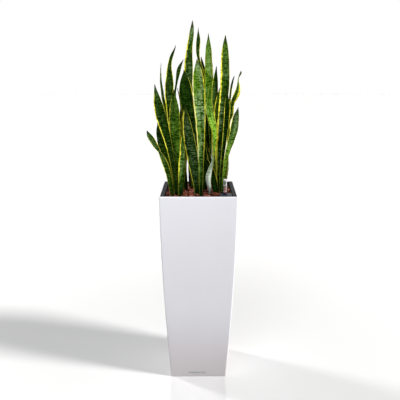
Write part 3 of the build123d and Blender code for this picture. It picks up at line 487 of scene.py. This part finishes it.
def leaf_material():
    """Dark blade with irregular cross bands, yellow margins, a pale underside, a dry tip, a painted
    sheen in pale patches and painted shade towards its foot.
    """
    s = Shader("snake_plant_leaf")
    across = s.attribute("leaf_across")
    along = s.attribute("leaf_along")
    half = s.attribute("leaf_half")
    seed = s.attribute("leaf_seed")
    paleness_and_sheen = s.attribute("leaf_paleness_and_sheen")
    under = s.attribute("leaf_under")
    part = s.attribute("leaf_part")
    side = s.math("MULTIPLY", across, half)
    blade = s.add("CombineXYZ", {0: side, 1: along, 2: seed})

    # Cross bands, long across the blade and short along it, over slow changes of shade
    fine = s.noise(s.stretch(blade, (50, 150, 11)), 1.0, 3.0, 0.6, 0.7)
    broad = s.noise(s.stretch(blade, (24, 50, 5)), 1.0, 3.0, 0.55, 0.9)
    slow = s.noise(s.stretch(blade, (30, 8, 3)), 1.0, 2.0, 0.5, 0.6)
    streak = s.noise(s.stretch(blade, (190, 5, 2)), 1.0, 3.0, 0.55)
    veins = s.noise(s.stretch(blade, (900, 8, 2)), 1.0, 3.0)
    band = s.math("ADD", s.math("MULTIPLY", fine, 0.75), s.math("MULTIPLY", broad, 0.25))
    speckle = s.noise(s.stretch(blade, (230, 200, 13)), 1.0, 2.0)
    broken = s.math("ADD", s.math("MULTIPLY", band, 0.45), s.math("MULTIPLY", speckle, 0.55))
    upper = s.step(part, 0.60, 0.85)
    band = s.add("Mix", {0: upper, 2: band, 3: broken}, data_type="FLOAT")

    tone = s.attribute("leaf_tone")
    shade = s.step(slow, 0.35, 0.65, -0.22, 0.22)
    tone = s.math("ADD", tone, s.math("MULTIPLY", shade, tone))
    tone = s.math("MINIMUM", s.math("POWER", s.math("MAXIMUM", tone, 0.0), 1.35), 1.0)
    lit = s.math("ADD", band, s.step(tone, 0.0, 0.6, -0.022, 0.022))
    light_share = s.step(lit, 0.475, 0.525)
    deep = s.mix(tone, rgb(0.0008, 0.005, 0.0004), rgb(0.022, 0.100, 0.003))
    green = s.mix(tone, rgb(0.010, 0.045, 0.002), rgb(0.270, 0.520, 0.030))
    ash = s.mix(tone, rgb(0.060, 0.110, 0.050), rgb(0.460, 0.600, 0.300))
    # The pale grey-green patches are partly the leaf's own bands and partly a painted sheen.
    patch = s.math("MULTIPLY", paleness_and_sheen, s.step(slow, 0.36, 0.58))
    ground = s.mix(patch, green, ash)
    base = s.mix(light_share, deep, ground)
    base = s.mix(s.step(streak, 0.50, 0.62, 0.0, 0.65), base, deep)
    olive = s.mix(tone, rgb(0.008, 0.026, 0.001), rgb(0.200, 0.320, 0.020))
    base = s.mix(s.step(streak, 0.36, 0.46, 0.4, 0.0), base, olive)
    base = s.mix(s.step(veins, 0.42, 0.72, 0.0, 0.25), base, deep)

    # The underside is paler, with the same bands thinner
    pale_band = s.mix(s.step(band, 0.50, 0.60), rgb(0.66, 0.72, 0.62), rgb(0.30, 0.40, 0.27))
    shown = s.math("MULTIPLY", under, s.step(paleness_and_sheen, 0.3, 0.9, 0.12, 1.0))
    base = s.mix(shown, base, pale_band)

    # Yellow margins: their inner line is uneven, and they narrow with the blade and end before its
    # tip
    ragged = s.noise(s.stretch(blade, (0, 30, 9)), 1.0, 4.0, 0.7)
    ragged = s.step(ragged, 0.25, 0.75, 0.45, 1.35)
    near_tip = s.step(part, 0.86, 0.97, 1.0, 0.0)
    narrow = s.math("MINIMUM", s.math("MULTIPLY", half, 60.0), 1.0)
    share = s.math("MULTIPLY", s.math("MULTIPLY", ragged, near_tip), narrow)
    edge = None
    for gap, width in (("ADD", "leaf_left"), ("SUBTRACT", "leaf_right")):
        reach = s.math("MULTIPLY", s.attribute(width), share)
        inside = s.math("SUBTRACT", s.math(gap, half, side), reach)
        inside = s.step(inside, -0.0007, 0.0003, 1.0, 0.0)
        edge = inside if edge is None else s.math("MAXIMUM", edge, inside)
    yellow = s.mix(s.step(broad, 0.38, 0.60), rgb(0.46, 0.42, 0.015), rgb(0.88, 0.82, 0.08))
    # The yellow darkens towards the root, painted shade in the clump.
    yellow = s.mix(s.step(part, 0.18, 0.46, 0.85, 0.0), yellow, rgb(0.10, 0.12, 0.010))
    base = s.mix(edge, base, yellow)

    # The blade's foot is painted near black above the bark as painted shade in the clump, and the
    # tip is dry
    base = s.mix(s.step(along, 0.0, 0.11, 0.75, 0.0), base, rgb(0.002, 0.012, 0.002))
    base = s.mix(s.step(part, 0.93, 0.985, 0.0, 0.8), base, rgb(0.020, 0.026, 0.006))

    normal = s.bump(veins, 0.0002, 0.45)
    normal = s.bump(band, 0.0006, 0.35, normal)
    surface = s.add("BsdfPrincipled", {
        "Base Color": base,
        "Roughness": s.step(band, 0.3, 0.7, 0.3, 0.45),
        "Specular IOR Level": LEAF_SPECULAR,
        "Normal": normal,
    })
    return s.finish(surface)


# Leaves: each CAD blade is sliced, and a finer blade is built through the slices


def blade_islands(obj):
    """The separate blades of a CAD node, as arrays of triangles, tallest first."""
    mesh = obj.data
    mesh.calc_loop_triangles()
    points = np.array([v.co[:] for v in mesh.vertices])
    triangles = np.array([t.vertices[:] for t in mesh.loop_triangles])
    welded = np.unique(np.round(points, 6), axis=0, return_inverse=True)[1].ravel()
    corners = welded[triangles]
    label = np.arange(welded.max() + 1)
    while True:
        low = label[corners].min(axis=1)
        new = label.copy()
        for k in range(3):
            np.minimum.at(new, corners[:, k], low)
        new = new[new]
        if (new == label).all():
            break
        label = new
    owner = label[corners[:, 0]]
    blades = [points[triangles[owner == k]] for k in np.unique(owner)]
    return sorted(blades, key=lambda b: -b[:, :, 2].max())


def section(triangles, z):
    """Points where a blade's surface crosses a level."""
    found = []
    for a, b in ((0, 1), (1, 2), (2, 0)):
        p, q = triangles[:, a], triangles[:, b]
        crosses = (p[:, 2] - z) * (q[:, 2] - z) < 0
        p, q = p[crosses], q[crosses]
        share = ((z - p[:, 2]) / (q[:, 2] - p[:, 2]))[:, None]
        found.append(p + (q - p) * share)
    return np.concatenate(found)


def blade_rows(triangles):
    """Centre, sideways direction, half width and hollow of a blade at levels from root to tip."""
    low, high = triangles[:, :, 2].min(), triangles[:, :, 2].max()
    found = []
    for k in range(LEAF_ROWS):
        share = k / (LEAF_ROWS - 1)
        share = share * ROW_EVENNESS + (1 - ROW_EVENNESS) * math.sin(share * math.pi / 2)
        z = low + ROW_FOOT_GAP + (high - low - ROW_GAPS) * share
        points = section(triangles, z)
        gaps = np.linalg.norm(points[:, None, :2] - points[None, :, :2], axis=2)
        i, j = np.unravel_index(gaps.argmax(), gaps.shape)
        centre = (points[i] + points[j]) / 2
        side = (points[j] - points[i])[:2] / gaps[i, j]
        normal = np.array((-side[1], side[0]))
        depths = (points[:, :2] - centre[:2]) @ normal
        deepest = depths[np.abs(depths).argmax()]
        if deepest < 0:
            side, deepest = -side, -deepest
        found.append((centre, side, gaps[i, j] / 2, deepest))
    return found


def add_blade(data, triangles, look, seed):
    """Adds a finer blade with a wavy outline and a thickness, closed at both ends, to data."""
    rows = blade_rows(triangles)
    start = len(data["points"])
    ring = 2 * LEAF_COLUMNS
    along = 0.0
    previous = rows[0][0]
    rng = random.Random(seed)
    phase, ripple = rng.uniform(0, FULL_TURN), rng.uniform(*LEAF_SWAY) * MM
    length = sum(np.linalg.norm(b[0] - a[0]) for a, b in zip(rows, rows[1:]))
    tones, painted_side_light, pale, margins = look
    for index, (centre, side, half, deepest) in enumerate(rows):
        along += float(np.linalg.norm(centre - previous))
        previous = centre
        part = along / length
        tone = float(np.interp(part, LEAF_PARTS, tones))
        paleness_and_sheen = float(np.interp(part, LEAF_PARTS, pale))
        thick = min(LEAF_THICKNESS * (1 - LEAF_THINNING * part), half * LEAF_THICKEST)
        hollow = max(deepest - thick, 0.0)
        normal = np.array((-side[1], side[0]))
        z = centre[2] - (LEAF_ROOT_DEPTH if index == 0 else 0.0)
        whole = min(1.0, half / LEAF_SWAY_WHOLE)
        sway = ripple * math.sin(along * LEAF_SWAY_RATE + phase) * whole
        for k in range(ring):
            under = k >= LEAF_COLUMNS
            column = k if not under else ring - 1 - k
            s = -math.cos(math.pi * column / (LEAF_COLUMNS - 1))
            if under:
                s *= UNDER_WIDTH
            bow = 1 - s * s
            depth = hollow * bow
            if under:
                depth += thick * (EDGE_THICKNESS + (1 - EDGE_THICKNESS) * bow ** THICKNESS_CURVE)
            lead = EDGE_WAVE_LEAD if s > 0 else 0.0
            wave = 1 + EDGE_WAVE * math.sin(along * EDGE_WAVE_RATE + phase + lead) * abs(s) ** 3
            offset = side * s * half * wave + normal * (depth + sway * abs(s) ** 2)
            data["points"].append((centre[0] + offset[0], centre[1] + offset[1], z))
            # The tone is lifted on one half of the blade and lowered on the other, painted light
            # from one side.
            data["values"].append((s, along, half, seed, tone + painted_side_light * s / 2, paleness_and_sheen,
                                   float(under), part, margins[0] * MM, margins[1] * MM))
    for row in range(len(rows) - 1):
        for k in range(ring):
            a, b = start + row * ring + k, start + row * ring + (k + 1) % ring
            data["faces"].append((a, b, b + ring, a + ring))
    for row, flip in ((0, True), (len(rows) - 1, False)):
        cap = [start + row * ring + k for k in range(ring)]
        data["faces"].append(cap[::-1] if flip else cap)


def make_leaves(material):
    """Replaces each CAD clump with finer blades that carry what their material needs."""
    for number, (node, looks) in enumerate(LEAF_LOOKS.items()):
        data = {"points": [], "faces": [], "values": []}
        blades = blade_islands(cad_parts[node])
        for k, (triangles, look) in enumerate(zip(blades, looks)):
            seed = FIRST_SEED + number * CLUMP_SEED_STEP + k * LEAF_SEED_STEP
            add_blade(data, triangles, look, seed)
        mesh = bpy.data.meshes.new(node + "_leaves")
        mesh.from_pydata(data["points"], [], data["faces"])
        values = np.array(data["values"], dtype=np.float32)
        for k, name in enumerate(LEAF_VALUES):
            layer = mesh.attributes.new(name, "FLOAT", "POINT")
            layer.data.foreach_set("value", np.ascontiguousarray(values[:, k]))
        layer = mesh.uv_layers.new(name="blade")
        loops = np.array([loop.vertex_index for loop in mesh.loops])
        uv = np.stack((values[loops, 0] * 0.5 + 0.5, values[loops, 1]), axis=1)
        layer.data.foreach_set("uv", uv.ravel())
        mesh.validate()
        mesh.shade_smooth()
        obj = piece(node + "_leaves", mesh, "planting", material)
        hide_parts(node)


# Bark


def inside_bed(x, y, bed, gap):
    """Whether a point is a gap or more inside the mulch, which leaves the shaft's corner free."""
    low, high, cover_low, cover_high = bed
    if not (low.x + gap < x < high.x - gap and low.y + gap < y < high.y - gap):
        return False
    return x < cover_low.x - gap or y > cover_high.y + gap


def chip_shape(rng):
    """A rough splinter of bark round the origin, its long side along X."""
    length = rng.uniform(*CHIP_LENGTH)
    width = length * rng.uniform(*CHIP_WIDTH)
    height = length * rng.uniform(*CHIP_HEIGHT)
    bm = bmesh.new()
    bmesh.ops.create_icosphere(bm, subdivisions=2, radius=0.5)
    offset = Vector([rng.uniform(0, CHIP_SHAPE_SHIFT) for _ in range(3)])
    for v in bm.verts:
        p = v.co.copy()
        flat = Vector([math.copysign(min(abs(c) * CHIP_SWELL, CHIP_CUT), c) for c in p])
        rough = sum(noise.noise(p * scale + offset) * size for scale, size in CHIP_ROUGH)
        q = flat * (1 + rough)
        v.co = Vector((q.x * length, q.y * width * (1 - CHIP_TAPER * q.x), q.z * height))
    points = [v.co.copy() for v in bm.verts]
    faces = [[v.index for v in f.verts] for f in bm.faces]
    bm.free()
    return points, faces


def add_bed(data, bed):
    """Adds a bumpy near-black sheet that shows between the chips, painted shade in the gaps."""
    low, high = bed[:2]
    columns = int((high.x - low.x) / BED_STEP)
    rows = int((high.y - low.y) / BED_STEP)
    index = {}
    for i in range(columns + 1):
        for j in range(rows + 1):
            x = low.x + (high.x - low.x) * i / columns
            y = low.y + (high.y - low.y) * j / rows
            if not inside_bed(x, y, bed, -BED_OVERLAP):
                continue
            bump = noise.noise(Vector((x, y, 0.0)) * BED_BUMP_SCALE) * BED_BUMP
            index[i, j] = len(data["points"])
            data["points"].append(Vector((x, y, high.z - BED_DROP + bump)))
            data["places"].append(Vector((x, y, 0.0)))
            data["tones"].append(BED_PAINTED_SHADE_TONE)
    for i, j in index:
        corners = [(i, j), (i + 1, j), (i + 1, j + 1), (i, j + 1)]
        if all(c in index for c in corners):
            data["faces"].append([index[c] for c in corners])


def add_chips(data, bed):
    """Adds chips at random places, and drops each that would touch a wall or stand too high."""
    low, high = bed[:2]
    rng = random.Random(CHIP_SEED)
    placed = 0
    while placed < CHIP_COUNT:
        shape, chip_faces = chip_shape(rng)
        x, y = rng.uniform(low.x, high.x), rng.uniform(low.y, high.y)
        z = high.z + rng.uniform(CHIP_LOW, CHIP_HIGH)
        tilt = rng.gauss(0, CHIP_TILT), rng.gauss(0, CHIP_TILT)
        turn = Euler((*tilt, rng.uniform(0, FULL_TURN)))
        place = Matrix.Translation((x, y, z)) @ turn.to_matrix().to_4x4()
        moved = [place @ p for p in shape]
        if not all(inside_bed(p.x, p.y, bed, CHIP_WALL_GAP) for p in moved):
            continue
        if max(p.z for p in moved) > high.z + CHIP_TOP:
            continue
        start = len(data["points"])
        data["points"].extend(moved)
        data["faces"].extend([[start + k for k in f] for f in chip_faces])
        data["tones"].extend([rng.random() ** 0.9] * len(moved))
        shift = Vector([rng.uniform(0, CHIP_NOISE_SHIFT) for _ in range(3)])
        data["places"].extend([p + shift for p in shape])
        placed += 1


def make_bark(material):
    """Replaces the CAD mulch with a bed of loose chips."""
    bed = (*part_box("bark_mulch"), *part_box("shaft_cover"))
    data = {"points": [], "faces": [], "tones": [], "places": []}
    add_bed(data, bed)
    add_chips(data, bed)
    mesh = bpy.data.meshes.new("bark_chips")
    mesh.from_pydata(data["points"], [], data["faces"])
    tones = mesh.attributes.new("chip_tone", "FLOAT", "POINT")
    tones.data.foreach_set("value", data["tones"])
    places = mesh.attributes.new("chip_place", "FLOAT_VECTOR", "POINT")
    places.data.foreach_set("vector", [c for p in data["places"] for c in p])
    mesh.shade_smooth()
    mesh.set_sharp_from_angle(angle=math.radians(CHIP_SHARP))
    obj = piece("bark_chips", mesh, "planting", material)
    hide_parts("bark_mulch")


# Surroundings


def make_floor():
    """A wide floor with a weak reflection, just below the column's foot, greyer round the column as
    a painted shadow.
    """
    s = Shader("studio_floor")
    place = s.object_place()
    haze = s.noise(place, 3.0, 3.0)
    away = s.add("VectorMath", {0: place}, output="Value", operation="LENGTH")
    # Painted shadow: the floor is greyer near the column.
    seen = s.mix(s.step(away, *FLOOR_BLEND), grey(FLOOR_NEAR_PAINTED_SHADOW), grey(FLOOR_FAR))
    bounced = s.add("LightPath", output="Is Diffuse Ray")
    diffuse = s.add("BsdfDiffuse", {"Color": s.mix(bounced, seen, grey(FLOOR_BOUNCE))})
    rough = s.step(haze, 0.2, 0.8, 0.03, 0.05)
    gloss = s.add("BsdfGlossy", {"Color": grey(1), "Roughness": rough})
    surface = s.add("MixShader", {0: FLOOR_GLOSS, 1: diffuse, 2: gloss})
    mesh = bpy.data.meshes.new("floor")
    a, b = -FLOOR_REACH, FLOOR_REACH
    mesh.from_pydata([(a, a, 0), (b, a, 0), (b, b, 0), (a, b, 0)], [], [(0, 1, 2, 3)])
    mesh.materials.append(s.finish(surface))
    floor = bpy.data.objects.new("floor", mesh)
    floor.location.z = -FLOOR_DROP
    bpy.context.scene.collection.objects.link(floor)


def add_light(kind, name, place, target, size, power, colour):
    """A round light that faces its target. A distant one's size is an angle."""
    data = bpy.data.lights.new(name, kind)
    data.energy = power
    data.color = colour
    if kind == "SUN":
        data.angle = size
    else:
        data.shape = "DISK"
        data.size = size
    light = bpy.data.objects.new(name, data)
    light.location = place
    light.rotation_euler = (Vector(target) - Vector(place)).to_track_quat("-Z", "Y").to_euler()
    bpy.context.scene.collection.objects.link(light)


def make_world():
    """Plain white surroundings that light the object less than they look as if they do."""
    world = bpy.data.worlds.new("studio")
    world.use_nodes = True
    nodes, links = world.node_tree.nodes, world.node_tree.links
    background = nodes["Background"]
    background.inputs["Color"].default_value = grey(1.0)
    path = nodes.new("ShaderNodeLightPath")
    strength = nodes.new("ShaderNodeMapRange")
    strength.inputs["To Min"].default_value = WORLD_SEEN
    strength.inputs["To Max"].default_value = WORLD_FILL
    links.new(path.outputs["Is Diffuse Ray"], strength.inputs["Value"])
    links.new(strength.outputs[0], background.inputs["Strength"])
    bpy.context.scene.world = world


def make_camera():
    camera = bpy.data.objects.new("camera", bpy.data.cameras.new("camera"))
    camera.data.lens = CAMERA_LENS
    camera.data.sensor_width = SENSOR_WIDTH
    camera.location = CAMERA_PLACE
    camera.rotation_euler = (math.pi / 2 - CAMERA_PITCH, 0, 0)
    bpy.context.scene.collection.objects.link(camera)
    bpy.context.scene.camera = camera


def make_surroundings():
    bpy.context.scene.view_settings.view_transform = "Standard"
    make_world()
    make_floor()
    for name, azimuth, height, size, power, colour in SUNS:
        turn = Euler((0, -math.radians(height), math.radians(azimuth)))
        place = turn.to_matrix() @ Vector((SUN_DISTANCE, 0, 0))
        add_light("SUN", name, place, (0, 0, 0), math.radians(size), power, colour)
    add_light("AREA", "front", *NEAR_LIGHT)
    make_camera()


def dress_frame():
    """Gives every CAD node that stays its material."""
    for material, nodes in (
        (column_material(), ("outer_shell",)),
        (glossy_plastic("badge_silver", rgb(0.42, 0.43, 0.45), rgb(0.5, 0.51, 0.53), 0.3),
         ("front_badge",)),
        (grained_plastic("liner_black", rgb(0.004, 0.004, 0.005), rgb(0.016, 0.016, 0.018),
                         specular=0.12),
         ("liner_tub", "filler_shaft")),
        (handle_material(), ("handle_left", "handle_right")),
        (grained_plastic("separator_grey", rgb(0.07, 0.072, 0.075), rgb(0.12, 0.122, 0.125)),
         ("separator_plate", "wick_cups")),
        (grained_plastic("cover_slate", rgb(0.030, 0.034, 0.040), rgb(0.068, 0.074, 0.084),
                         (0.4, 0.55), 0.2),
         ("shaft_cover", "filler_flap")),
        (steel_material(), ("flap_hinge_pin",)),
        (clear_material(), ("gauge_tube",)),
        (cap_material(), ("gauge_cap",)),
        (grained_plastic("collar_navy", rgb(0.005, 0.006, 0.020), rgb(0.016, 0.018, 0.045),
                         (0.35, 0.5), 0.25),
         ("gauge_collar", "drain_plug")),
        (glossy_plastic("mark_white", grey(0.8), grey(0.7), 0.4), ("gauge_marks",)),
        (glossy_plastic("float_red", rgb(0.42, 0.035, 0.028), rgb(0.34, 0.025, 0.02)),
         ("float_cylinder", "float_rod")),
        (rubber_material(), ("drain_seal",)),
        (crumb_material("clay_granulate", rgb(0.10, 0.045, 0.025), rgb(0.34, 0.17, 0.10),
                        130.0, 0.004),
         ("drainage_granulate",)),
        (crumb_material("potting_soil", rgb(0.012, 0.008, 0.006), rgb(0.055, 0.036, 0.025),
                        240.0, 0.002),
         ("potting_mix",)),
    ):
        for node in nodes:
            set_material(node, material)


make_surroundings()
dress_frame()
make_leaves(leaf_material())
make_bark(bark_material())
